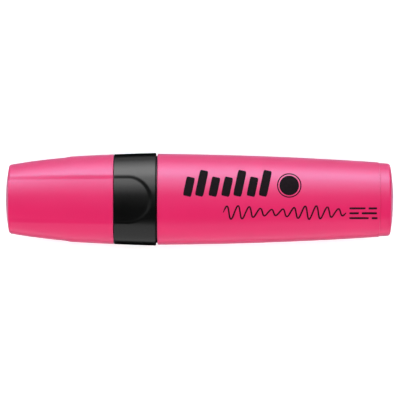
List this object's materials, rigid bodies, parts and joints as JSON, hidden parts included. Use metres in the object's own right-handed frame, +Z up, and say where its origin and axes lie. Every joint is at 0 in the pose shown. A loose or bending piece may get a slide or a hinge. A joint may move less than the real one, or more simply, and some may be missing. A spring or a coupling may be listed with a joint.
{
  "type": "highlighter",
  "caption": "Flat oval highlighter with a pull-off cap, a snap neck, a chisel nib and a fibre ink reservoir, lying on a broad face.",
  "frame": {"origin": "on the surface that the pen lies on, under the middle of its box", "axes": "+X along the pen from the closed end of the cap to the tail, +Y across its width, +Z up through its thickness"},
  "size_m": [0.12, 0.0288, 0.0175],
  "materials": {
    "pink_shell": "moulded, satin to gloss",
    "black_collar": "moulded, gloss",
    "natural_liner": "moulded, unpigmented",
    "pink_barrel": "moulded, satin to gloss, pad printed",
    "pink_plug": "moulded, satin to gloss",
    "black_section": "moulded, gloss",
    "nib_fibre": "bonded fibre soaked in ink",
    "reservoir_fibre": "drawn fibre bundle soaked in ink",
    "clear_film": "thin clear film",
    "print_ink": "pad-printed ink on the barrel"
  },
  "bodies": {
    "marker": {"barrel": "pink_barrel", "end_plug": "pink_plug", "front_section": "black_section", "nib": "nib_fibre", "ink_reservoir": "reservoir_fibre", "reservoir_film": "clear_film"},
    "cap": {"cap_shell": "pink_shell", "cap_ring": "black_collar", "inner_cap": "natural_liner"}
  },
  "joints": [
    {"name": "cap_pull", "type": "slide", "parent": "marker", "child": "cap", "axis": [-1, 0, 0], "range_m": [0, 0.05]}
  ]
}
